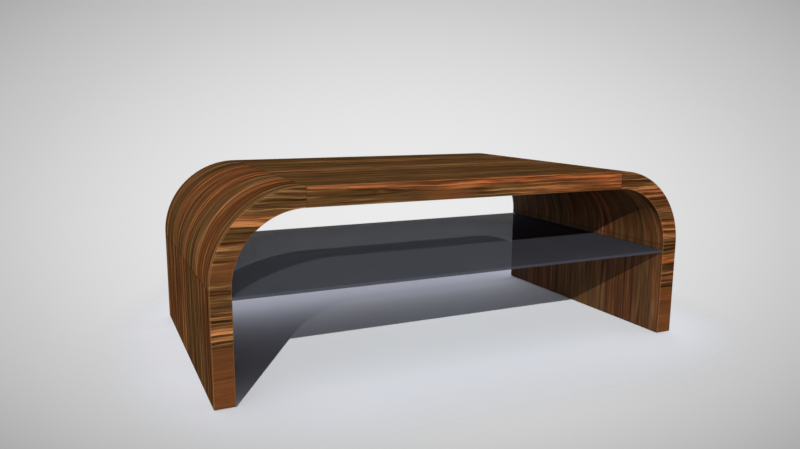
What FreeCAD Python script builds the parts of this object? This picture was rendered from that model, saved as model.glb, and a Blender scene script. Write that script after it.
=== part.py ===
"""Waterfall coffee table: a veneered inverted U with bent-ply corners and a smoked glass shelf.

The table stands on z = 0 with its length along X, its front at -Y and its origin under the middle of the top.
Every solid is built in place, in millimetres, and each piece is written to its own STEP file.
"""

import FreeCAD
import Part
import math
import os

# Overall sizes of the table.
length = 1100.0
depth = 630.0
height = 400.0
panel_thickness = 40.0
outer_radius = 180.0

# Skins that cover the cores: sawn veneer on the faces, solid lipping on the front and back edges.
veneer = 1.0
lipping = 2.0
lipping_arris = 0.8

# Smoked glass shelf: how far its underside lies below the bends, and how far each end runs into its groove.
shelf_drop = 19.0
glass_thickness = 6.0
glass_setback = 1.0
glass_arris = 0.6
glass_engagement = 8.0
glass_side_clearance = 0.5
notch_radius = 3.0
tongue_corner_radius = 2.0

# Groove for the shelf: stopped behind the front edge, open at the back, lined with a soft channel.
groove_stop = 25.0
liner_wall = 1.0
glass_clearance = 0.25

# Loose tongues that join the five cores edge to edge and keep their faces level.
tongue_thickness = 6.0
tongue_width = 30.0
tongue_fit = 0.1
tongue_glue_room = 1.0
tongue_end_gap = 1.0

# Nail-on glides under the legs, let into the lower edge.
glide_diameter = 22.0
glide_seat_depth = 3.0
glide_proud = 2.0
glide_chamfer = 1.0
glide_fit = 0.2
glide_edge_distance = 70.0
nail_diameter = 3.0
nail_in_glide = 3.0
nail_in_leg = 16.0
nail_tip = 2.5
nail_point_diameter = 0.8

# Places worked out from the sizes above.
inner_radius = outer_radius - panel_thickness
flat_half = length / 2 - outer_radius
seam_z = height - outer_radius
leg_foot_z = glide_proud
inner_half = length / 2 - panel_thickness
middle_half = length / 2 - panel_thickness / 2
middle_z = height - panel_thickness / 2
front_y = -depth / 2
back_y = depth / 2

shelf_z = seam_z - shelf_drop
groove_z = shelf_z - glass_clearance - liner_wall
groove_height = glass_thickness + 2 * (glass_clearance + liner_wall)
groove_depth = glass_engagement + glass_side_clearance + liner_wall
groove_end_y = front_y + groove_stop
liner_front_y = groove_end_y + groove_height / 2

X_AXIS = FreeCAD.Vector(1, 0, 0)
Y_AXIS = FreeCAD.Vector(0, 1, 0)
Z_AXIS = FreeCAD.Vector(0, 0, 1)
ORIGIN = FreeCAD.Vector(0, 0, 0)


def in_section(x, z, y=0.0):
    """A point given in the plane of the table's cross-section."""
    return FreeCAD.Vector(x, y, z)


def left_of(right_shape):
    """The left-hand twin of a piece made for the right-hand end."""
    return right_shape.mirror(ORIGIN, X_AXIS)


def back_of(front_shape):
    """The rear twin of a piece made for the front edge."""
    return front_shape.mirror(ORIGIN, Y_AXIS)


def polygon_face(points):
    return Part.Face(Part.makePolygon(points + [points[0]]))


def rectangle_face(x_low, x_high, z_low, z_high):
    return polygon_face(
        [
            in_section(x_low, z_low),
            in_section(x_high, z_low),
            in_section(x_high, z_high),
            in_section(x_low, z_high),
        ]
    )


def quarter_ring_face(radius_in, radius_out):
    """Right-hand corner: a quarter ring about the bend's centre line."""

    def arc_point(radius, angle):
        return in_section(flat_half + radius * math.cos(angle), seam_z + radius * math.sin(angle))

    def quarter_arc(radius, start, end):
        middle = arc_point(radius, math.pi / 4)
        return Part.Arc(arc_point(radius, start), middle, arc_point(radius, end)).toShape()

    lying = 0.0
    standing = math.pi / 2
    edges = [
        quarter_arc(radius_out, lying, standing),
        Part.makeLine(arc_point(radius_out, standing), arc_point(radius_in, standing)),
        quarter_arc(radius_in, standing, lying),
        Part.makeLine(arc_point(radius_in, lying), arc_point(radius_out, lying)),
    ]
    return Part.Face(Part.Wire(edges))


def layer_face(section, outside, inside):
    """Cross-section of one layer, between two depths measured in from the table's outer face."""
    if section == "top":
        return rectangle_face(-flat_half, flat_half, height - inside, height - outside)
    if section == "corner":
        return quarter_ring_face(outer_radius - inside, outer_radius - outside)
    return rectangle_face(length / 2 - inside, length / 2 - outside, leg_foot_z, seam_z)


def layer(section, outside, inside, y_from, y_to):
    """One layer of a section, as a solid that runs along Y."""
    face = layer_face(section, outside, inside)
    face.translate(Y_AXIS * y_from)
    return face.extrude(Y_AXIS * (y_to - y_from))


def core(section):
    return layer(section, veneer, panel_thickness - veneer, front_y + lipping, back_y - lipping)


def outer_veneer(section):
    return layer(section, 0.0, veneer, front_y + lipping, back_y - lipping)


def inner_veneer(section):
    return layer(section, panel_thickness - veneer, panel_thickness, front_y + lipping, back_y - lipping)


def is_show_edge(edge, section):
    """True for the two long edges of a lipping's front face, which are eased."""
    points = [edge.valueAt(edge.FirstParameter), edge.valueAt(edge.LastParameter)]
    if any(abs(point.y - front_y) > 1e-6 for point in points):
        return False
    if section == "corner":
        return not isinstance(edge.Curve, Part.Line)
    across = points[1].x - points[0].x if section == "leg" else points[1].z - points[0].z
    return abs(across) < 1e-6


def front_lipping(section):
    strip = layer(section, 0.0, panel_thickness, front_y, front_y + lipping)
    show_edges = [edge for edge in strip.Edges if is_show_edge(edge, section)]
    return strip.makeChamfer(lipping_arris, show_edges)


def tongue_bar(joint, thickness, width, y_from, y_to):
    """A bar centred on one of the right-hand joints, half of it on each side of the seam."""
    if joint == "top_corner":
        face = rectangle_face(
            flat_half - width / 2, flat_half + width / 2, middle_z - thickness / 2, middle_z + thickness / 2
        )
    else:
        face = rectangle_face(
            middle_half - thickness / 2, middle_half + thickness / 2, seam_z - width / 2, seam_z + width / 2
        )
    face.translate(Y_AXIS * y_from)
    return face.extrude(Y_AXIS * (y_to - y_from))


def tongue(joint):
    """Loose plywood tongue, cut a little short of the lippings that close its groove."""
    end = depth / 2 - lipping - tongue_end_gap
    return tongue_bar(joint, tongue_thickness, tongue_width, -end, end)


def tongue_groove(joint):
    """The groove that a tongue needs on both sides of its seam, with room for glue beyond its edges."""
    thickness = tongue_thickness + 2 * tongue_fit
    width = tongue_width + 2 * tongue_glue_room
    return tongue_bar(joint, thickness, width, front_y, back_y)


def shelf_groove():
    """Routed groove in the right-hand leg: its front end has the cutter's round, its back end is open."""
    reach_in = inner_half + groove_depth - flat_half
    past_back = back_y + lipping
    middle = groove_z + groove_height / 2
    run = Part.makeBox(
        reach_in, past_back - liner_front_y, groove_height, in_section(flat_half, groove_z, liner_front_y)
    )
    round_end = Part.makeCylinder(
        groove_height / 2, reach_in, in_section(flat_half, middle, liner_front_y), X_AXIS
    )
    return run.fuse(round_end).removeSplitter()


def groove_liner():
    """Soft channel pressed into the right-hand groove; the glass slides on its lower lip."""
    mouth = inner_half
    floor = inner_half + groove_depth
    low = groove_z
    high = groove_z + groove_height
    channel = polygon_face(
        [
            in_section(mouth, low),
            in_section(floor, low),
            in_section(floor, high),
            in_section(mouth, high),
            in_section(mouth, high - liner_wall),
            in_section(floor - liner_wall, high - liner_wall),
            in_section(floor - liner_wall, low + liner_wall),
            in_section(mouth, low + liner_wall),
        ]
    )
    channel.translate(Y_AXIS * liner_front_y)
    return channel.extrude(Y_AXIS * (back_y - liner_front_y))


def glass_shelf():
    """Toughened glass with a notch at each front corner, so that its front edge hides the groove's end."""
    face_half = inner_half - glass_side_clearance
    tongue_half = inner_half + glass_engagement
    front = front_y + glass_setback
    back = back_y - glass_setback
    notch = liner_front_y + glass_clearance + notch_radius
    outline = [
        FreeCAD.Vector(x, y, shelf_z)
        for x, y in [
            (-face_half, front),
            (face_half, front),
            (face_half, notch),
            (tongue_half, notch),
            (tongue_half, back),
            (-tongue_half, back),
            (-tongue_half, notch),
            (-face_half, notch),
        ]
    ]
    sheet = polygon_face(outline).extrude(Z_AXIS * glass_thickness)

    def upright_edges(half, y):
        """The two edges of the sheet that stand at a place on the left and its twin on the right."""
        return [
            edge
            for edge in sheet.Edges
            if any(
                all(abs(v.X - x) < 1e-6 and abs(v.Y - y) < 1e-6 for v in edge.Vertexes) for x in (-half, half)
            )
        ]

    sheet = sheet.makeFillet(notch_radius, upright_edges(face_half, notch))
    sheet = sheet.makeFillet(tongue_corner_radius, upright_edges(tongue_half, notch))
    sheet = sheet.makeFillet(tongue_corner_radius, upright_edges(tongue_half, back))
    rims = [
        edge
        for edge in sheet.Edges
        if all(abs(v.Z - shelf_z) < 1e-6 for v in edge.Vertexes)
        or all(abs(v.Z - shelf_z - glass_thickness) < 1e-6 for v in edge.Vertexes)
    ]
    return sheet.makeChamfer(glass_arris, rims)


def glide_places():
    """Middle of each glide under the right-hand leg, front first."""
    reach = depth / 2 - glide_edge_distance
    return [in_section(middle_half, 0.0, y) for y in (-reach, reach)]


def glide(place):
    """Moulded nylon pad with an eased rim and a blind hole for its nail."""
    pad = Part.makeCylinder(glide_diameter / 2, glide_proud + glide_seat_depth, place)
    rim = [
        edge
        for edge in pad.Edges
        if isinstance(edge.Curve, Part.Circle) and abs(edge.Vertexes[0].Z) < 1e-6
    ]
    pad = pad.makeChamfer(glide_chamfer, rim)
    hole_z = glide_proud + glide_seat_depth - nail_in_glide
    return pad.cut(Part.makeCylinder(nail_diameter / 2, nail_in_glide, place + Z_AXIS * hole_z))


def glide_nail(place):
    """Wire nail moulded into the glide and driven up into the leg, with a pointed tip."""
    start = place + Z_AXIS * (glide_proud + glide_seat_depth - nail_in_glide)
    shank_length = nail_in_glide + nail_in_leg - nail_tip
    shank = Part.makeCylinder(nail_diameter / 2, shank_length, start)
    tip_start = start + Z_AXIS * shank_length
    tip = Part.makeCone(nail_diameter / 2, nail_point_diameter / 2, nail_tip, tip_start)
    return shank.fuse(tip).removeSplitter()


def glide_seat(place):
    """Bored seat for a glide in the leg's lower edge, with the hole that its nail makes."""
    bore = Part.makeCylinder(glide_diameter / 2 + glide_fit, glide_seat_depth, place + Z_AXIS * leg_foot_z)
    return bore.fuse(glide_nail(place))


def right_leg_core():
    seats = [glide_seat(place) for place in glide_places()]
    return core("leg").cut(seats + [tongue_groove("corner_leg"), shelf_groove()])


def right_corner_core():
    return core("corner").cut([tongue_groove("top_corner"), tongue_groove("corner_leg")])


def top_core():
    right_groove = tongue_groove("top_corner")
    return core("top").cut([right_groove, left_of(right_groove)])


def end_pieces():
    """Every piece of the right-hand end, by name without its side."""
    groove = shelf_groove()
    pieces = {
        "corner_core": right_corner_core(),
        "leg_core": right_leg_core(),
        "corner_leg_tongue": tongue("corner_leg"),
        "top_corner_tongue": tongue("top_corner"),
        "groove_liner": groove_liner(),
    }
    for section in ("corner", "leg"):
        pieces[section + "_outer_veneer"] = outer_veneer(section)
        pieces[section + "_inner_veneer"] = inner_veneer(section)
        pieces[section + "_front_lipping"] = front_lipping(section)
        pieces[section + "_back_lipping"] = back_of(front_lipping(section))
    for skin in ("leg_inner_veneer", "leg_back_lipping"):
        pieces[skin] = pieces[skin].cut(groove)
    for side, place in zip(("front", "back"), glide_places()):
        pieces[side + "_glide"] = glide(place)
    return pieces


def all_pieces():
    """Every piece of the table, by node name."""
    nails = [glide_nail(place) for place in glide_places()]
    pieces = {
        "top_core": top_core(),
        "top_outer_veneer": outer_veneer("top"),
        "top_inner_veneer": inner_veneer("top"),
        "top_front_lipping": front_lipping("top"),
        "top_back_lipping": back_of(front_lipping("top")),
        "glass_shelf": glass_shelf(),
        "glide_nails": Part.makeCompound(nails + [left_of(nail) for nail in nails]),
    }
    for name, piece in end_pieces().items():
        pieces["right_" + name] = piece
        pieces["left_" + name] = left_of(piece)
    return pieces


def solids_only(shape):
    """The shape's solids, as one solid or as a group of separate ones."""
    return shape.Solids[0] if len(shape.Solids) == 1 else Part.makeCompound(shape.Solids)


os.makedirs("parts", exist_ok=True)
for name, piece in all_pieces().items():
    shape = solids_only(piece)
    shape.exportStep(os.path.join("parts", name + ".step"))
    print(name, "solids", len(shape.Solids), "valid", shape.isValid(), "mm3", round(shape.Volume, 1))
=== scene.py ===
import math

import bmesh
import bpy
from mathutils import Matrix, Vector


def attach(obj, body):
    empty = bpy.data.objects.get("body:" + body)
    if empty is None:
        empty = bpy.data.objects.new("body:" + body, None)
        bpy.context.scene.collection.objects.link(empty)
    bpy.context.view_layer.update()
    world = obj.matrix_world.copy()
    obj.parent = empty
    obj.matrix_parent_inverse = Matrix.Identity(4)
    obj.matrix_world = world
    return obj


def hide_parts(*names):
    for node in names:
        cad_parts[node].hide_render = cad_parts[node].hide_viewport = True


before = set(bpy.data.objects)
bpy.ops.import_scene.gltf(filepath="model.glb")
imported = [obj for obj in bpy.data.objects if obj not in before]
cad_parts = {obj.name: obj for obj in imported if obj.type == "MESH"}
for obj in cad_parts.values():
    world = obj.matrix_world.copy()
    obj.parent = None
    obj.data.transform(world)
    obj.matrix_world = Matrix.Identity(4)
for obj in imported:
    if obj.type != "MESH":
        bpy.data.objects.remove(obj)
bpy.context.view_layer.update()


# Cores: flat fibreboard in the top and legs, and a quarter bend glued up from thin plies in each corner.
# They are hidden by veneer and lipping, and show only as raw edges under the legs.
# Fibreboard is matted from fine pale fibres; the bend shows its glue lines as thin dark rings.
def srgb(red, green, blue):
    """A paint-chip colour, 0 to 255, as the linear colour that shaders take."""

    def linear(value):
        share = value / 255
        return share / 12.92 if share <= 0.04045 else ((share + 0.055) / 1.055) ** 2.4

    return (linear(red), linear(green), linear(blue), 1.0)


class Nodes:
    """A node tree, with short calls to add nodes to it and to join them."""

    def __init__(self, tree):
        self.tree = tree

    def feed(self, socket, value):
        if isinstance(value, bpy.types.NodeSocket):
            self.tree.links.new(value, socket)
        else:
            socket.default_value = value

    def node(self, kind, settings=None, **inputs):
        node = self.tree.nodes.new(kind)
        for name, value in (settings or {}).items():
            setattr(node, name, value)
        for name, value in inputs.items():
            self.feed(node.inputs[name.replace("_", " ")], value)
        return node

    def sum(self, operation, first, second=0.0, third=0.0):
        node = self.node("ShaderNodeMath", {"operation": operation})
        for socket, value in zip(node.inputs, (first, second, third)):
            self.feed(socket, value)
        return node.outputs[0]

    def vector_sum(self, operation, first, second=(0.0, 0.0, 0.0)):
        node = self.node("ShaderNodeVectorMath", {"operation": operation})
        self.feed(node.inputs[0], first)
        self.feed(node.inputs[1], second)
        return node.outputs["Value" if operation in ("LENGTH", "DOT_PRODUCT") else "Vector"]

    def vector(self, x=0.0, y=0.0, z=0.0):
        return self.node("ShaderNodeCombineXYZ", X=x, Y=y, Z=z).outputs[0]

    def split(self, vector):
        return self.node("ShaderNodeSeparateXYZ", Vector=vector).outputs

    def mapped(self, value, source, target=(0.0, 1.0), **settings):
        """A value carried over from one range to another."""
        node = self.node("ShaderNodeMapRange", settings, Value=value)
        for name, limit in zip(("From Min", "From Max", "To Min", "To Max"), (*source, *target)):
            self.feed(node.inputs[name], limit)
        return node.outputs[0]

    def ramp(self, factor, *stops):
        node = self.node("ShaderNodeValToRGB", Fac=factor)
        while len(node.color_ramp.elements) < len(stops):
            node.color_ramp.elements.new(1.0)
        for element, (place, colour) in zip(node.color_ramp.elements, stops):
            element.position = place
            element.color = colour
        return node.outputs["Color"]

    def mix_shaders(self, factor, first, second):
        node = self.node("ShaderNodeMixShader")
        for socket, value in zip(node.inputs, (factor, first, second)):
            self.feed(socket, value)
        return node.outputs[0]


class Shader(Nodes):
    """A material with one surface shader, and the patterns that feed it."""

    def __init__(self, name, specular):
        self.material = bpy.data.materials.new(name)
        self.material.use_nodes = True
        super().__init__(self.material.node_tree)
        self.surface = self.tree.nodes["Principled BSDF"]
        self.surface.inputs["Specular IOR Level"].default_value = specular

    def object_point(self):
        return self.node("ShaderNodeTexCoord").outputs["Object"]

    def own(self, attribute, output="Fac"):
        return self.node("ShaderNodeAttribute", {"attribute_name": attribute}).outputs[output]

    def stretched(self, point, scale, shift=(0.0, 0.0, 0.0)):
        return self.node("ShaderNodeMapping", Vector=point, Scale=scale, Location=shift).outputs[0]

    def noise(self, point, scale=1.0, detail=2.0, roughness=0.5):
        node = self.node("ShaderNodeTexNoise", Vector=point, Scale=scale, Detail=detail, Roughness=roughness)
        return node.outputs["Fac"]

    def between(self, value, low, high):
        """0 below low, 1 above high, and a smooth climb in between."""
        return self.mapped(value, (low, high), interpolation_type="SMOOTHSTEP")

    def blend(self, factor, first, second):
        node = self.node("ShaderNodeMix", {"data_type": "RGBA"})
        for place, value in ((0, factor), (6, first), (7, second)):
            self.feed(node.inputs[place], value)
        return node.outputs[2]

    def colour(self, value):
        self.feed(self.surface.inputs["Base Color"], value)

    def dullness(self, factor, least, most):
        """Roughness that follows a noise from its low places to its high ones."""
        self.feed(self.surface.inputs["Roughness"], self.mapped(factor, (0.3, 0.7), (least, most)))

    def bump(self, height, strength, distance):
        node = self.node("ShaderNodeBump", Height=height, Strength=strength, Distance=distance)
        self.feed(self.surface.inputs["Normal"], node.outputs[0])


def dress(node_name, material):
    """Gives a CAD node a finish of its own."""
    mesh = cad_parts[node_name].data
    mesh.materials.clear()
    mesh.materials.append(material)


fibreboard = Shader("fibreboard", specular=0.2)
fibres = fibreboard.noise(fibreboard.object_point(), scale=900.0, detail=3.0, roughness=0.7)
flecks = fibreboard.noise(fibreboard.object_point(), scale=120.0)
board_ground = fibreboard.ramp(fibres, (0.25, srgb(122, 92, 62)), (0.75, srgb(176, 142, 104)))
fibreboard.colour(fibreboard.blend(fibreboard.between(flecks, 0.55, 0.7), board_ground, srgb(108, 80, 54)))
fibreboard.dullness(fibres, 0.78, 0.92)
fibreboard.bump(fibres, strength=0.4, distance=0.0002)
for core in ("top_core", "left_leg_core", "right_leg_core"):
    dress(core, fibreboard.material)

table_length = 1.1
table_height = 0.4
bend_radius = 0.18
flat_half = table_length / 2 - bend_radius
bend_height = table_height - bend_radius
ply_thickness = 0.0038
for side, way in (("left", -1.0), ("right", 1.0)):
    bent_ply = Shader("bent_ply_" + side, specular=0.25)
    ply_point = bent_ply.object_point()
    from_middle = bent_ply.vector_sum("SUBTRACT", ply_point, (way * flat_half, 0.0, bend_height))
    reach = bent_ply.vector_sum("LENGTH", bent_ply.vector_sum("MULTIPLY", from_middle, (1.0, 0.0, 1.0)))
    ply_count = bent_ply.sum("DIVIDE", reach, ply_thickness)
    in_ply = bent_ply.sum("FRACT", ply_count)
    from_ply_middle = bent_ply.sum("ABSOLUTE", bent_ply.sum("SUBTRACT", in_ply, 0.5))
    odd_ply = bent_ply.sum("MODULO", bent_ply.sum("FLOOR", ply_count), 2.0)
    ply_fibres = bent_ply.noise(bent_ply.stretched(ply_point, (1500.0, 90.0, 1500.0)), detail=3.0)
    pale_ply = bent_ply.ramp(ply_fibres, (0.3, srgb(186, 146, 98)), (0.7, srgb(214, 178, 130)))
    cross_ply = bent_ply.blend(odd_ply, pale_ply, srgb(160, 118, 76))
    glue = bent_ply.between(from_ply_middle, 0.44, 0.48)
    bent_ply.colour(bent_ply.blend(glue, cross_ply, srgb(70, 44, 26)))
    bent_ply.dullness(ply_fibres, 0.62, 0.78)
    bent_ply.bump(ply_fibres, strength=0.3, distance=0.0002)
    dress(side + "_corner_core", bent_ply.material)


# Loose tongues: birch plywood strips, glued into grooves across the four joints between the cores.
# Their grain runs along the strip, pale with fine brown flecks, and the glued joints hide them.
tongue_ply = Shader("tongue_ply", specular=0.25)
tongue_point = tongue_ply.object_point()
birch = tongue_ply.noise(tongue_ply.stretched(tongue_point, (400.0, 25.0, 400.0)), detail=4.0)
birch_fleck = tongue_ply.noise(tongue_ply.stretched(tongue_point, (1800.0, 160.0, 1800.0)))
birch_tone = tongue_ply.ramp(birch, (0.3, srgb(196, 160, 112)), (0.7, srgb(222, 192, 148)))
flecked = tongue_ply.between(birch_fleck, 0.62, 0.7)
tongue_ply.colour(tongue_ply.blend(flecked, birch_tone, srgb(150, 112, 70)))
tongue_ply.dullness(birch_fleck, 0.66, 0.82)
tongue_ply.bump(birch_fleck, strength=0.25, distance=0.0001)
for side in ("left", "right"):
    for joint in ("top_corner", "corner_leg"):
        dress(f"{side}_{joint}_tongue", tongue_ply.material)


# Face veneers: sawn rosewood, a millimetre thick, pressed round the band in five lengths to each face.
# They meet at the tangent lines of the bends, with the grain running up, over and down under a dull oil.
# The legs' inner lengths are slotted for the shelf. The wood is brown, olive, orange and near black.
table_depth = 0.63
band_thickness = 0.04
foot_gap = 0.002
veneer_thickness = 0.001
veneer_arris = 0.0003
lipping_thickness = 0.002
shelf_drop = 0.019
glass_thickness = 0.006
glass_play = 0.00025
channel_wall = 0.001
groove_stop = 0.025
glass_low = bend_height - shelf_drop
groove_low = glass_low - glass_play - channel_wall
groove_high = glass_low + glass_thickness + glass_play + channel_wall
groove_round = (groove_high - groove_low) / 2
groove_front = groove_stop - table_depth / 2
bend_run = bend_radius * math.pi / 2
leg_run = bend_height - foot_gap
steps_round_bend = 65
steps_along_flat = 2
band_ends = {
    "left_leg": (-flat_half - bend_run - leg_run, -flat_half - bend_run),
    "left_corner": (-flat_half - bend_run, -flat_half),
    "top": (-flat_half, flat_half),
    "right_corner": (flat_half, flat_half + bend_run),
    "right_leg": (flat_half + bend_run, flat_half + bend_run + leg_run),
}


def named_tree(name, result, *inputs):
    """An empty Geometry Nodes tree with named inputs and one result."""
    tree = bpy.data.node_groups.new(name, "GeometryNodeTree")
    for socket, kind in inputs:
        tree.interface.new_socket(name=socket, in_out="INPUT", socket_type="NodeSocket" + kind)
    tree.interface.new_socket(name=result, in_out="OUTPUT", socket_type="NodeSocketGeometry")
    return Nodes(tree)


def finished(nodes, geometry, finish):
    """The end of every tree: real mesh, with its finish on."""
    real = nodes.node("GeometryNodeRealizeInstances", Geometry=geometry)
    return nodes.node("GeometryNodeSetMaterial", Geometry=real.outputs[0], Material=finish).outputs[0]


def layer_tree():
    """Node tree for one layer of one length of the band.

    A divided block, or a leg's own block with its groove, is laid out along the band's outer line,
    counted from the middle of the top, and bent round the corners.
    It carries its own grain directions and its distances from its ends.
    """
    layer = named_tree(
        "band_layer",
        "Layer",
        ("Block", "Geometry"),
        ("Own Block", "Bool"),
        ("Start", "Float"),
        ("End", "Float"),
        ("Outside", "Float"),
        ("Inside", "Float"),
        ("Front", "Float"),
        ("Back", "Float"),
        ("Flat Half", "Float"),
        ("Bend Radius", "Float"),
        ("Table Height", "Float"),
        ("Steps", "Int"),
        ("Show Side", "Float"),
        ("Seam Ease", "Float"),
        ("Grain Level", "Bool"),
        ("Grain Shift", "Vector"),
        ("Tone", "Float"),
        ("Start Ruddiness", "Float"),
        ("End Ruddiness", "Float"),
        ("Figure Strength", "Float"),
        ("Finish", "Material"),
    )
    sizes = layer.node("NodeGroupInput").outputs

    def chosen(kind, switch, if_not, if_so):
        ways = {"Switch": switch, "False": if_not, "True": if_so}
        return layer.node("GeometryNodeSwitch", {"input_type": kind}, **ways).outputs[0]

    def across_block(share, low, high):
        return layer.mapped(share, (-0.5, 0.5), (low, high), clamp=False)

    def less(first, second):
        return layer.sum("SUBTRACT", first, second)

    def kept(geometry, name, value, kind="FLOAT", domain="POINT"):
        settings = {"data_type": kind, "domain": domain}
        stored = {"Geometry": geometry, "Name": name, "Value": value}
        return layer.node("GeometryNodeStoreNamedAttribute", settings, **stored).outputs[0]

    cube = layer.node("GeometryNodeMeshCube", Size=(1.0, 1.0, 1.0), Vertices_X=sizes["Steps"])
    block = chosen("GEOMETRY", sizes["Own Block"], cube.outputs["Mesh"], sizes["Block"])
    block_x, block_y, block_z = layer.split(layer.node("GeometryNodeInputPosition").outputs[0])
    along = across_block(block_x, sizes["Start"], sizes["End"])
    across = across_block(block_y, sizes["Front"], sizes["Back"])
    below = across_block(block_z, sizes["Inside"], sizes["Outside"])

    run = layer.sum("ABSOLUTE", along)
    past_flat = layer.sum("MAXIMUM", less(run, sizes["Flat Half"]))
    turn = layer.sum("MINIMUM", layer.sum("DIVIDE", past_flat, sizes["Bend Radius"]), math.pi / 2)
    quarter = layer.sum("MULTIPLY", sizes["Bend Radius"], math.pi / 2)
    down_leg = layer.sum("MAXIMUM", less(past_flat, quarter))
    arm = less(sizes["Bend Radius"], below)
    on_flat = layer.sum("MINIMUM", run, sizes["Flat Half"])
    out = layer.sum("ADD", on_flat, layer.sum("MULTIPLY", arm, layer.sum("SINE", turn)))
    band_x = layer.sum("MULTIPLY", layer.sum("SIGN", along), out)
    bend_z = less(sizes["Table Height"], sizes["Bend Radius"])
    up = layer.sum("ADD", bend_z, layer.sum("MULTIPLY", arm, layer.sum("COSINE", turn)))
    band_z = less(up, down_leg)

    round_the_band = layer.vector(along, across, below)
    level = layer.vector(band_x, band_z, across)
    grain = chosen("VECTOR", sizes["Grain Level"], round_the_band, level)
    from_start = layer.vector(
        less(along, sizes["Start"]),
        less(across, sizes["Front"]),
        less(below, sizes["Outside"]),
    )
    to_end = layer.vector(
        less(sizes["End"], along),
        less(sizes["Back"], across),
        less(sizes["Inside"], below),
    )

    just_inside = 0.499
    at_end, at_side, at_face = [
        layer.sum("GREATER_THAN", layer.sum("ABSOLUTE", place), just_inside)
        for place in (block_x, block_y, block_z)
    ]
    met = layer.sum("ADD", layer.sum("ADD", at_end, at_side), at_face)
    real_edge = layer.sum("GREATER_THAN", met, 1.5)
    toward_show_side = layer.sum("MULTIPLY", block_y, sizes["Show Side"])
    on_show_side = layer.sum("GREATER_THAN", toward_show_side, just_inside)
    show_edge = layer.sum("MULTIPLY", on_show_side, at_face)
    ease = layer.sum("MAXIMUM", layer.sum("MULTIPLY", real_edge, sizes["Seam Ease"]), show_edge)

    geometry = kept(block, "grain", layer.vector_sum("ADD", grain, sizes["Grain Shift"]), "FLOAT_VECTOR")
    geometry = kept(geometry, "from_start", from_start, "FLOAT_VECTOR")
    geometry = kept(geometry, "to_end", to_end, "FLOAT_VECTOR")
    geometry = kept(geometry, "tone", sizes["Tone"])
    ruddiness = across_block(block_x, sizes["Start Ruddiness"], sizes["End Ruddiness"])
    geometry = kept(geometry, "ruddiness", ruddiness)
    geometry = kept(geometry, "figure_strength", sizes["Figure Strength"])
    geometry = kept(geometry, "bevel_weight_edge", ease, domain="EDGE")
    bent = layer.vector(band_x, across, band_z)
    placed = layer.node("GeometryNodeSetPosition", Geometry=geometry, Position=bent)
    layer.node("NodeGroupOutput", Layer=finished(layer, placed.outputs[0], sizes["Finish"]))
    return layer


band_layer = layer_tree()


def put(name, data):
    """A new object in the scene, for a mesh, a lamp or the camera."""
    thing = bpy.data.objects.new(name, data)
    bpy.context.scene.collection.objects.link(thing)
    return thing


def apply_tree(draft, nodes, values):
    """Puts a tree on a draft, with its inputs set by their sockets' identifiers."""
    rule = draft.modifiers.new(nodes.tree.name, "NODES")
    rule.node_group = nodes.tree
    for socket in nodes.tree.interface.items_tree:
        if socket.name in values:
            rule[socket.identifier] = values[socket.name]


def plain_mesh(draft, name):
    """Turns a drafted object with its modifiers into a plain mesh object of that name."""
    bpy.context.view_layer.update()
    graph = bpy.context.evaluated_depsgraph_get()
    mesh = bpy.data.meshes.new_from_object(
        draft.evaluated_get(graph), preserve_all_data_layers=True, depsgraph=graph
    )
    mesh.name = name
    bpy.data.objects.remove(draft)
    return put(name, mesh)


def band_piece(node, form, length, arris, values, block=None):
    """One layer of one length of the band, as a finished piece that stands for its CAD node."""
    draft = put(node + "_draft", block or bpy.data.meshes.new(node + "_draft"))
    start, end = band_ends[length]
    shared = {
        "Own Block": block is not None,
        "Start": start,
        "End": end,
        "Flat Half": flat_half,
        "Bend Radius": bend_radius,
        "Table Height": table_height,
        "Steps": steps_round_bend if "corner" in length else steps_along_flat,
    }
    apply_tree(draft, band_layer, {**values, **shared})
    eased = draft.modifiers.new("eased", "BEVEL")
    eased.limit_method = "WEIGHT"
    eased.width = arris
    eased.segments = 3
    eased.harden_normals = True
    piece = plain_mesh(draft, f"{node}_{form}")
    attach(piece, "table")
    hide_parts(node)


def drawn_out(name, corners, way):
    """Solid mesh of a flat outline that is drawn out one way."""
    shape = bmesh.new()
    face = shape.faces.new([shape.verts.new(corner) for corner in corners])
    drawn = bmesh.ops.extrude_face_region(shape, geom=[face])
    for vertex in [part for part in drawn["geom"] if isinstance(part, bmesh.types.BMVert)]:
        vertex.co += Vector(way)
    bmesh.ops.recalc_face_normals(shape, faces=shape.faces)
    mesh = bpy.data.meshes.new(name)
    shape.to_mesh(mesh)
    shape.free()
    return mesh


def leg_share(length, above_floor):
    """How far up a leg a height is, as a share of the leg's block along the band."""
    share = (above_floor - foot_gap) / leg_run - 0.5
    return share if length == "left_leg" else -share


# Heights over which the figure dies away to a plain foot, and how ruddy the plain wood is.
plain_foot = (0.118, 0.108)
plain_ruddiness = 0.58
# Distances over which a seam darkens, and over which an arris pales, partly with wear and partly with a
# painted highlight.
seam_shade = (0.0022, 0.0004)
arris_wear_and_highlight = (0.0022, 0.0008)


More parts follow.
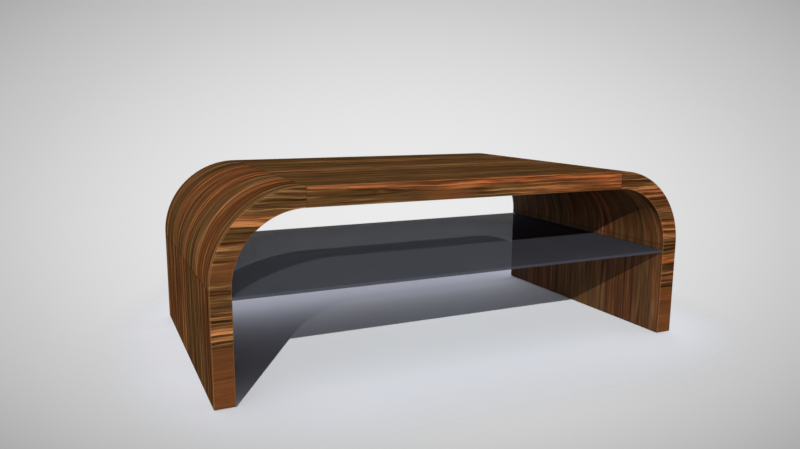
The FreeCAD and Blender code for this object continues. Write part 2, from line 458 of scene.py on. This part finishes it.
def rosewood(
    name,
    specular,
    line_strength,
    ring_width,
    sway,
    sway_length,
    hue_spread,
    plain_share,
    joint_axes,
    joint_share,
    worn_and_highlight_share,
):
    """Streaked rosewood with a dull oiled finish.

    The grain attribute runs along, across and into the wood.
    """
    wood = Shader(name, specular)
    grain = wood.own("grain", "Vector")
    fine = 1.0 / ring_width
    swing = wood.noise(wood.stretched(grain, (1.0 / sway_length, 6.0, 6.0)))
    flow = wood.vector_sum("ADD", grain, wood.vector(y=wood.sum("MULTIPLY_ADD", swing, 2.0 * sway, -sway)))

    def figured(scale, shift=(0.0, 0.0, 0.0), **texture):
        return wood.noise(wood.stretched(flow, scale, shift), **texture)

    def off_middle(value):
        return wood.sum("SUBTRACT", value, 0.5)

    def added(value, strength, base):
        return wood.sum("MULTIPLY_ADD", value, strength, base)

    spacing = figured((0.8, 0.5 * fine, 0.5 * fine), roughness=0.6)
    rings = added(wood.split(flow)["Y"], fine, wood.sum("MULTIPLY", spacing, 5.0))
    in_ring = wood.sum("FRACT", rings)
    ring_noise = wood.node("ShaderNodeTexWhiteNoise", {"noise_dimensions": "1D"}, W=wood.sum("FLOOR", rings))
    ring_kind = ring_noise.outputs["Value"]
    streaks = figured((2.2, 4.0 * fine, 4.0 * fine), (7.0, 3.0, 1.0), detail=3.0, roughness=0.65)
    threads = figured((10.0, 170.0, 170.0), (3.0, 2.0, 8.0))
    lines = figured((9.0, 600.0, 600.0), (2.0, 9.0, 4.0))
    pores = figured((45.0, 1500.0, 1500.0), detail=1.0)
    warmth = figured((1.6, 0.45 * fine, 0.45 * fine), (4.0, 1.0, 6.0))
    plain = wood.between(figured((2.5, 9.0, 9.0), (1.0, 5.0, 2.0)), 0.57, 0.65)
    off_floor = wood.split(wood.object_point())["Z"]
    plain = wood.sum("MAXIMUM", plain, wood.between(off_floor, *plain_foot))
    lively = added(plain, -plain_share, 1.0)

    growth = wood.ramp(
        in_ring,
        *[
            (place, (grey, grey, grey, 1.0))
            for place, grey in ((0.00, 0.30), (0.12, 0.66), (0.50, 0.54), (0.94, 0.40), (1.00, 0.30))
        ],
    )
    figure = added(off_middle(streaks), 2.2, off_middle(growth))
    figure = added(off_middle(ring_kind), 0.4, figure)
    figure = added(off_middle(threads), 1.4, figure)
    figure = wood.sum("MULTIPLY", figure, wood.own("figure_strength"))
    figure = added(off_middle(lines), line_strength, figure)
    figure = wood.sum("MULTIPLY", figure, lively)
    lightness = wood.sum("ADD", wood.sum("ADD", figure, wood.own("tone")), 0.5)
    olive = wood.ramp(
        lightness, (0.0, srgb(44, 28, 12)), (0.5, srgb(91, 63, 35)), (1.0, srgb(160, 122, 74))
    )
    red = wood.ramp(
        lightness, (0.0, srgb(52, 26, 11)), (0.5, srgb(105, 57, 29)), (1.0, srgb(186, 102, 56))
    )
    warmer = added(off_middle(ring_kind), 0.5, off_middle(wood.between(warmth, 0.36, 0.64)))
    ruddy = added(warmer, hue_spread, wood.own("ruddiness"))
    ruddy = wood.sum("MAXIMUM", wood.sum("MINIMUM", ruddy, 1.0))
    to_plain = wood.sum("SUBTRACT", plain_ruddiness, ruddy)
    ruddy = added(wood.sum("MULTIPLY", plain, plain_share), to_plain, ruddy)
    timber = wood.blend(ruddy, olive, red)
    from_line = wood.sum("ABSOLUTE", wood.sum("SUBTRACT", in_ring, 0.06))
    ring_line = wood.sum("MULTIPLY", wood.between(from_line, 0.055, 0.015), wood.sum("MULTIPLY", lively, 0.8))
    ring_line = wood.sum("MULTIPLY", ring_line, wood.between(ring_kind, 0.2, 0.6))
    lined = wood.blend(ring_line, timber, srgb(46, 27, 13))
    pored = wood.blend(wood.sum("MULTIPLY", wood.between(pores, 0.60, 0.68), 0.4), lined, srgb(38, 23, 12))

    def nearest(axes):
        gaps = []
        for attribute in ("from_start", "to_end"):
            parts = wood.split(wood.own(attribute, "Vector"))
            gaps += [parts[axis] for axis in axes]
        least = gaps[0]
        for gap in gaps[1:]:
            least = wood.sum("MINIMUM", least, gap)
        return least

    joint = wood.sum("MULTIPLY", wood.between(nearest(joint_axes), *seam_shade), joint_share)
    jointed = wood.blend(joint, pored, srgb(44, 26, 14))
    # Each arris is paled towards a light brown: partly wear, partly a painted highlight along the edge.
    arris = wood.sum("MULTIPLY", wood.between(nearest("Z"), *arris_wear_and_highlight), worn_and_highlight_share)
    wood.colour(wood.blend(arris, jointed, srgb(150, 106, 62)))
    dent = added(wood.between(pores, 0.68, 0.58), 0.6, wood.sum("MULTIPLY", lines, 0.4))
    wood.dullness(pores, 0.54, 0.72)
    wood.bump(dent, strength=0.25, distance=0.0003)
    return wood.material


face_rosewood = {
    face: rosewood(
        f"rosewood_{face}_veneer",
        specular=specular,
        line_strength=line_strength,
        ring_width=0.05,
        sway=0.006,
        sway_length=0.3,
        hue_spread=0.7,
        plain_share=0.0,
        joint_axes="XY",
        joint_share=0.5,
        worn_and_highlight_share=0.0,
    )
    for face, specular, line_strength in (("outer", 0.0, 0.5), ("inner", 0.09, 0.9))
}
# Each length has its own lightness, its ruddiness from start to end, the strength of its figure,
# and the place in the log that it was cut from.
outer_tone = {
    "left_leg": -0.18,
    "left_corner": -0.08,
    "top": -0.13,
    "right_corner": -0.08,
    "right_leg": -0.17,
}
inner_tone = {
    "left_leg": -0.2,
    "left_corner": -0.14,
    "top": -0.2,
    "right_corner": -0.14,
    "right_leg": -0.2,
}
outer_hue = {
    "left_leg": (0.1, 0.2),
    "left_corner": (0.32, 0.27),
    "top": (-0.05, -0.1),
    "right_corner": (0.27, 0.32),
    "right_leg": (0.2, 0.1),
}
inner_hue = (0.45, 0.45)
outer_figure = {
    "left_leg": 0.8,
    "left_corner": 0.75,
    "top": 0.6,
    "right_corner": 0.75,
    "right_leg": 0.8,
}
inner_figure = 0.45
outer_cuts = {
    "left_leg": (0.356, 11.673, 17.600),
    "left_corner": (15.555, 16.626, 6.888),
    "top": (1.146, 2.824, 16.101),
    "right_corner": (12.587, 16.369, 13.423),
    "right_leg": (24.096, 18.346, 16.220),
}
inner_cut = (15.038, 15.975, 8.299)
skin_front = -table_depth / 2 + lipping_thickness
skin_back = table_depth / 2 - lipping_thickness


def slotted_block(length):
    """Block for a leg's inner veneer, with the shelf's slot.

    The slot has the cutter's round at the front and is open at the back.
    """
    low, high = leg_share(length, groove_low), leg_share(length, groove_high)
    round_reach = groove_round / (skin_back - skin_front)
    round_middle = (groove_front - skin_front) / (skin_back - skin_front) - 0.5 + round_reach
    round_steps = 16
    foot = leg_share(length, foot_gap)
    corners = [(foot, 0.5), (foot, -0.5), (-foot, -0.5), (-foot, 0.5), (high, 0.5)]
    for step in range(round_steps + 1):
        turn = math.pi * step / round_steps
        up = (low + high) / 2 + (high - low) / 2 * math.cos(turn)
        corners.append((up, round_middle - round_reach * math.sin(turn)))
    corners.append((low, 0.5))
    corners = [(along, across, -0.5) for along, across in corners]
    return drawn_out(length + "_slotted", corners, way=(0.0, 0.0, 1.0))


for length in band_ends:
    for face, outside in (("outer", 0.0), ("inner", band_thickness - veneer_thickness)):
        outer = face == "outer"
        hue = outer_hue[length] if outer else inner_hue
        band_piece(
            f"{length}_{face}_veneer",
            "sheet",
            length,
            veneer_arris,
            {
                "Outside": outside,
                "Inside": outside + veneer_thickness,
                "Front": skin_front,
                "Back": skin_back,
                "Show Side": 0.0,
                "Seam Ease": 1.0,
                "Grain Level": False,
                "Grain Shift": outer_cuts[length] if outer else inner_cut,
                "Tone": outer_tone[length] if outer else inner_tone[length],
                "Start Ruddiness": hue[0],
                "End Ruddiness": hue[1],
                "Figure Strength": outer_figure[length] if outer else inner_figure,
                "Finish": face_rosewood[face],
            },
            block=None if outer or "leg" not in length else slotted_block(length),
        )


# Edge lippings: two-millimetre strips of the same wood, glued over the front and back edges of the band.
# Their grain lies level all the way round, so it runs along the top and crosses the corners and legs in bars.
# The outer arrises are eased, and the shelf's grooves run out through the legs' back strips.
lipping_arris = 0.0008
glass_housed = 0.008
glass_end_play = 0.0005
groove_depth = glass_housed + glass_end_play + channel_wall
edge_rosewood = rosewood(
    "rosewood_edge_lipping",
    specular=0.0,
    line_strength=0.5,
    ring_width=0.02,
    sway=0.003,
    sway_length=0.05,
    hue_spread=1.0,
    plain_share=0.75,
    joint_axes="X",
    joint_share=0.3,
    worn_and_highlight_share=0.25,
)
edge_tone = {
    "left_leg": -0.08,
    "left_corner": -0.09,
    "top": 0.0,
    "right_corner": -0.08,
    "right_leg": -0.14,
}
edge_hue = {
    "left_leg": (1.3, 0.3),
    "left_corner": (0.05, 0.42),
    "top": (0.05, 0.75),
    "right_corner": (0.15, 0.3),
    "right_leg": (0.75, 0.75),
}
edge_figure = {
    "left_leg": 0.95,
    "left_corner": 1.0,
    "top": 0.85,
    "right_corner": 0.95,
    "right_leg": 1.1,
}
edge_cuts = {
    "left_leg": (10.763, 6.865, 7.381),
    "left_corner": (0.800, 6.991, 5.100),
    "top": (12.629, 19.206, 4.523),
    "right_corner": (14.307, 11.947, 17.299),
    "right_leg": (6.447, 6.181, 12.181),
}


def notched_block(length):
    """Block for a leg's back lipping, with the notch where the shelf's groove runs out."""
    low, high = leg_share(length, groove_low), leg_share(length, groove_high)
    notch = groove_depth / band_thickness - 0.5
    foot = leg_share(length, foot_gap)
    corners = [(foot, -0.5), (foot, 0.5), (-foot, 0.5), (-foot, -0.5), (high, -0.5)]
    corners += [(high, notch), (low, notch), (low, -0.5)]
    corners = [(along, -0.5, inward) for along, inward in corners]
    return drawn_out(length + "_notched", corners, way=(0.0, 1.0, 0.0))


for length in band_ends:
    for edge, front, show_side in (("front", -table_depth / 2, -1.0), ("back", skin_back, 1.0)):
        band_piece(
            f"{length}_{edge}_lipping",
            "strip",
            length,
            lipping_arris,
            {
                "Outside": 0.0,
                "Inside": band_thickness,
                "Front": front,
                "Back": front + lipping_thickness,
                "Show Side": show_side,
                "Seam Ease": 0.2,
                "Grain Level": True,
                "Grain Shift": edge_cuts[length],
                "Tone": edge_tone[length],
                "Start Ruddiness": edge_hue[length][0],
                "End Ruddiness": edge_hue[length][1],
                "Figure Strength": edge_figure[length],
                "Finish": edge_rosewood,
            },
            block=notched_block(length) if edge == "back" and "leg" in length else None,
        )


# Groove channels: soft black extrusions pressed into the legs' grooves, so the glass doesn't bear on wood.
# The rubber is dull, with a faint draw mark along its length.
channel_rubber = Shader("channel_rubber", specular=0.3)
along_channel = channel_rubber.stretched(channel_rubber.object_point(), (2500.0, 20.0, 2500.0))
draw_marks = channel_rubber.noise(along_channel)
channel_rubber.colour(channel_rubber.ramp(draw_marks, (0.3, srgb(18, 18, 18)), (0.7, srgb(34, 33, 32))))
channel_rubber.dullness(draw_marks, 0.62, 0.78)
channel_rubber.bump(draw_marks, strength=0.2, distance=0.0001)
for side in ("left", "right"):
    dress(side + "_groove_liner", channel_rubber.material)


# Shelf: one sheet of smoked toughened glass with polished arrises, slid into the grooves from the back.
# Its front corners are notched, so the front edge reaches both legs and hides where the grooves stop.
glass_arris = 0.0006
glass_setback = 0.001
front_radius = 0.0005
notch_radius = 0.003
tongue_radius = 0.002
radius_steps = 6
inner_half = table_length / 2 - band_thickness
glass_face_half = inner_half - glass_end_play
glass_tongue_half = inner_half + glass_housed
glass_front = glass_setback - table_depth / 2
glass_back = table_depth / 2 - glass_setback
glass_notch = groove_front + groove_round + glass_play + notch_radius


def rounded(corner, before, after, radius):
    """Points that round off one right-angled corner of an outline."""
    into = (Vector(before) - Vector(corner)).normalized()
    away = (Vector(after) - Vector(corner)).normalized()
    centre = Vector(corner) + (into + away) * radius
    points = []
    for step in range(radius_steps + 1):
        turn = math.pi / 2 * step / radius_steps
        points.append(centre - away * radius * math.cos(turn) - into * radius * math.sin(turn))
    return points


glass_corners = [
    ((-glass_face_half, glass_front), front_radius),
    ((glass_face_half, glass_front), front_radius),
    ((glass_face_half, glass_notch), notch_radius),
    ((glass_tongue_half, glass_notch), tongue_radius),
    ((glass_tongue_half, glass_back), tongue_radius),
    ((-glass_tongue_half, glass_back), tongue_radius),
    ((-glass_tongue_half, glass_notch), tongue_radius),
    ((-glass_face_half, glass_notch), notch_radius),
]
outline = []
for index, (corner, radius) in enumerate(glass_corners):
    before = glass_corners[index - 1][0]
    after = glass_corners[(index + 1) % len(glass_corners)][0]
    outline += rounded(corner, before, after, radius)
outline = [(point.x, point.y, glass_low) for point in outline]
glass_draft = put("glass_draft", drawn_out("glass_draft", outline, way=(0.0, 0.0, glass_thickness)))
polish = glass_draft.modifiers.new("polished arris", "BEVEL")
polish.width = glass_arris
polish.segments = 2
polish.limit_method = "ANGLE"
polish.angle_limit = math.radians(60)
polish.harden_normals = True
shelf = plain_mesh(glass_draft, "glass_shelf_sheet")

smoked = Shader("smoked_glass", specular=0.0)
smoked.surface.inputs["Alpha"].default_value = 0.75
haze = smoked.noise(smoked.object_point(), scale=6.0)
smoked.dullness(haze, 0.16, 0.24)
smoked.colour(smoked.ramp(haze, (0.3, srgb(61, 62, 69)), (0.7, srgb(65, 66, 73))))
shelf.data.materials.append(smoked.material)
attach(shelf, "shelf")
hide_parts("glass_shelf")


# Glides: dark brown nylon pads with an eased rim, one near each end of each leg's lower edge.
# Each is moulded round a wire nail that is driven up into the leg.
glide_radius = 0.011
glide_seat = 0.003
glide_rim = 0.001
glide_from_end = 0.07
glide_set = named_tree(
    "floor_glides",
    "Glides",
    ("Between Legs", "Float"),
    ("Between Ends", "Float"),
    ("Radius", "Float"),
    ("Height", "Float"),
    ("Finish", "Material"),
)
glide_sizes = glide_set.node("NodeGroupInput").outputs
places = glide_set.node(
    "GeometryNodeMeshGrid",
    Size_X=glide_sizes["Between Legs"],
    Size_Y=glide_sizes["Between Ends"],
    Vertices_X=2,
    Vertices_Y=2,
)
pad = glide_set.node(
    "GeometryNodeMeshCylinder", Vertices=64, Radius=glide_sizes["Radius"], Depth=glide_sizes["Height"]
)
half_up = glide_set.vector(z=glide_set.sum("MULTIPLY", glide_sizes["Height"], 0.5))
stood = glide_set.node("GeometryNodeTransform", Geometry=pad.outputs["Mesh"], Translation=half_up)
copies = glide_set.node(
    "GeometryNodeInstanceOnPoints", Points=places.outputs["Mesh"], Instance=stood.outputs[0]
)
glide_set.node("NodeGroupOutput", Glides=finished(glide_set, copies.outputs[0], glide_sizes["Finish"]))

nylon = Shader("brown_nylon", specular=0.4)
moulding = nylon.noise(nylon.object_point(), scale=1400.0)
nylon.colour(nylon.ramp(moulding, (0.3, srgb(46, 34, 26)), (0.7, srgb(62, 47, 36))))
nylon.dullness(moulding, 0.44, 0.56)
nylon.bump(moulding, strength=0.15, distance=0.0001)
glide_draft = put("glide_draft", bpy.data.meshes.new("glide_draft"))
apply_tree(
    glide_draft,
    glide_set,
    {
        "Between Legs": table_length - band_thickness,
        "Between Ends": table_depth - 2 * glide_from_end,
        "Radius": glide_radius,
        "Height": glide_seat + foot_gap,
        "Finish": nylon.material,
    },
)
eased_rim = glide_draft.modifiers.new("eased rim", "BEVEL")
eased_rim.width = glide_rim
eased_rim.segments = 3
eased_rim.limit_method = "ANGLE"
eased_rim.angle_limit = math.radians(60)
glides = plain_mesh(glide_draft, "floor_glides")
glides.data.shade_smooth()
glides.data.set_sharp_from_angle(angle=math.radians(40))
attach(glides, "table")
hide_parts(*[f"{side}_{end}_glide" for side in ("left", "right") for end in ("front", "back")])

nail_wire = Shader("nail_wire", specular=0.5)
nail_wire.surface.inputs["Metallic"].default_value = 1.0
wire_marks = nail_wire.noise(nail_wire.stretched(nail_wire.object_point(), (3000.0, 3000.0, 60.0)))
nail_wire.colour(nail_wire.ramp(wire_marks, (0.3, srgb(150, 150, 150)), (0.7, srgb(190, 189, 186))))
nail_wire.dullness(wire_marks, 0.28, 0.42)
nail_wire.bump(wire_marks, strength=0.1, distance=0.0001)
dress("glide_nails", nail_wire.material)


# Floor and background: a pale studio floor that fades into a pale grey surround, and holds the table's
# shadow.
# Its colour is a painted pool of light: palest in a patch under and behind the table that leans the way the
# shadow falls, and dimming outward.
# The surround is brightest behind the table, and lights it softly from above and behind.
camera_place = Vector((-0.7444, -1.5180, 0.5475))
camera_yaw = 0.4369
camera_pitch = -0.1722
camera_roll = 0.0056
view_line = Vector(
    (
        math.sin(camera_yaw) * math.cos(camera_pitch),
        math.cos(camera_yaw) * math.cos(camera_pitch),
        math.sin(camera_pitch),
    )
)
right_level = Vector((math.cos(camera_yaw), -math.sin(camera_yaw), 0.0))
up_level = right_level.cross(view_line)
right = right_level * math.cos(camera_roll) + up_level * math.sin(camera_roll)
up = up_level * math.cos(camera_roll) - right_level * math.sin(camera_roll)

floor_radius = 9.0
patch_middle = (0.036, 0.059, 0.0)
patch_half = (0.296, 0.16, 0.0)
patch_lean = (0.45, 0.8, 0.0)
patch_lean_start = 0.2
patch_lean_most = 0.9
# Distances past the patch over which the painted pool of light dims, and over which the floor fades from
# view.
painted_light_dims = (0.104, 0.725)
paint_fades = (0.281, 0.529)
floor_mesh = bpy.data.meshes.new("studio_floor")
floor_shape = bmesh.new()
bmesh.ops.create_circle(floor_shape, cap_ends=True, segments=96, radius=floor_radius)
floor_shape.to_mesh(floor_mesh)
floor_shape.free()
floor = put("studio_floor", floor_mesh)
floor_paint = Shader("floor_paint", specular=0.0)
floor_paint.surface.inputs["Roughness"].default_value = 0.9
floor_point = floor_paint.object_point()
behind = floor_paint.sum("SUBTRACT", floor_paint.split(floor_point)["Y"], patch_lean_start)
behind = floor_paint.sum("MINIMUM", floor_paint.sum("MAXIMUM", behind), patch_lean_most)
leant = floor_paint.vector_sum("MULTIPLY", floor_paint.vector(behind, behind), patch_lean)
from_patch = floor_paint.vector_sum("SUBTRACT", floor_point, leant)
from_patch = floor_paint.vector_sum("SUBTRACT", from_patch, patch_middle)
past_patch = floor_paint.vector_sum("SUBTRACT", floor_paint.vector_sum("ABSOLUTE", from_patch), patch_half)
floor_out = floor_paint.vector_sum("LENGTH", floor_paint.vector_sum("MAXIMUM", past_patch))
# Painted pool of light: the floor's colour is palest in the leaning patch and dims to grey away from it.
painted_light_falloff = floor_paint.between(floor_out, *painted_light_dims)
floor_paint.colour(floor_paint.ramp(painted_light_falloff, (0.0, srgb(241, 245, 250)), (1.0, srgb(164, 164, 164))))
faded = floor_paint.between(floor_out, *paint_fades)
from_below = floor_paint.node("ShaderNodeNewGeometry").outputs["Backfacing"]
seen = floor_paint.node("ShaderNodeLightPath").outputs["Is Camera Ray"]
see_through = floor_paint.sum("MULTIPLY", floor_paint.sum("MAXIMUM", faded, from_below), seen)
clear = floor_paint.node("ShaderNodeBsdfTransparent").outputs[0]
floor_surface = floor_paint.mix_shaders(see_through, floor_paint.surface.outputs[0], clear)
floor_paint.feed(floor_paint.tree.nodes["Material Output"].inputs["Surface"], floor_surface)
floor.data.materials.append(floor_paint.material)

pool_across = 1.739
pool_up = 3.098
pool_reach = 10.0
pool_greys = ((0.0, 235), (0.1, 203), (0.2, 172), (1.0, 206))
soft_light_from = (0.0, 0.454, 0.891)
soft_light_colour = (0.95, 0.95, 1.08, 1.0)
surround = bpy.data.worlds.new("studio_surround")
bpy.context.scene.world = surround
surround.use_nodes = True
sky = Nodes(surround.node_tree)
sky.tree.nodes.clear()
sky_way = sky.node("ShaderNodeTexCoord").outputs["Generated"]
ahead, aside, above = [sky.vector_sum("DOT_PRODUCT", sky_way, axis) for axis in (view_line, right, up)]
ahead = sky.sum("MAXIMUM", ahead, 0.05)
aside = sky.sum("MULTIPLY", sky.sum("DIVIDE", aside, ahead), pool_across)
above = sky.sum("MULTIPLY", sky.sum("DIVIDE", above, ahead), pool_up)
out_of_pool = sky.sum("ADD", sky.sum("MULTIPLY", aside, aside), sky.sum("MULTIPLY", above, above))
pool_tones = [(place, srgb(grey, grey, grey)) for place, grey in pool_greys]
pool_tone = sky.ramp(sky.sum("DIVIDE", out_of_pool, pool_reach), *pool_tones)
pool = sky.node("ShaderNodeBackground", Color=pool_tone)
toward_light = sky.vector_sum("DOT_PRODUCT", sky_way, soft_light_from)
soft_light = sky.node(
    "ShaderNodeBackground",
    Color=soft_light_colour,
    Strength=sky.mapped(toward_light, (0.25, 1.0), (0.1, 0.93)),
)
ray = sky.node("ShaderNodeLightPath").outputs
looked_at = sky.sum("MAXIMUM", ray["Is Camera Ray"], ray["Is Glossy Ray"])
looked_at = sky.sum("MAXIMUM", looked_at, ray["Is Transmission Ray"])
sky.node("ShaderNodeOutputWorld", Surface=sky.mix_shaders(looked_at, soft_light.outputs[0], pool.outputs[0]))


# Key and fill: one lamp far off to the front left, fairly low, so that the top's shadow falls on the shelf,
# and a weak, cooler and wider one near floor level, which opens up the shaded inside of the right leg.
for name, way, energy, degrees_wide, colour in (
    ("key_lamp", (0.961, 1.61, -1.0), 3.9, 0.4, (1.0, 0.985, 0.96)),
    ("fill_lamp", (0.82, 0.57, -0.06), 0.55, 20.0, (0.85, 1.0, 1.25)),
):
    lamp = bpy.data.lights.new(name, "SUN")
    lamp.energy = energy
    lamp.angle = math.radians(degrees_wide)
    lamp.color = colour
    put(name, lamp).rotation_euler = Vector(way).normalized().to_track_quat("-Z", "Y").to_euler()


# Camera: at the photograph's place, turned along its line of sight and rolled a little.
# Its lens takes in the whole table, with the floor in front and the pale surround behind.
camera_turn = Matrix((right, up, -view_line)).transposed().to_4x4()
camera_data = bpy.data.cameras.new("camera")
camera_data.sensor_fit = "HORIZONTAL"
camera_data.sensor_width = 36.0
camera_data.lens = 31.23
camera_data.clip_start = 0.05
camera_data.clip_end = 100.0
camera = put("camera", camera_data)
camera.matrix_world = Matrix.Translation(camera_place) @ camera_turn
bpy.context.scene.camera = camera
bpy.context.scene.view_settings.view_transform = "Standard"
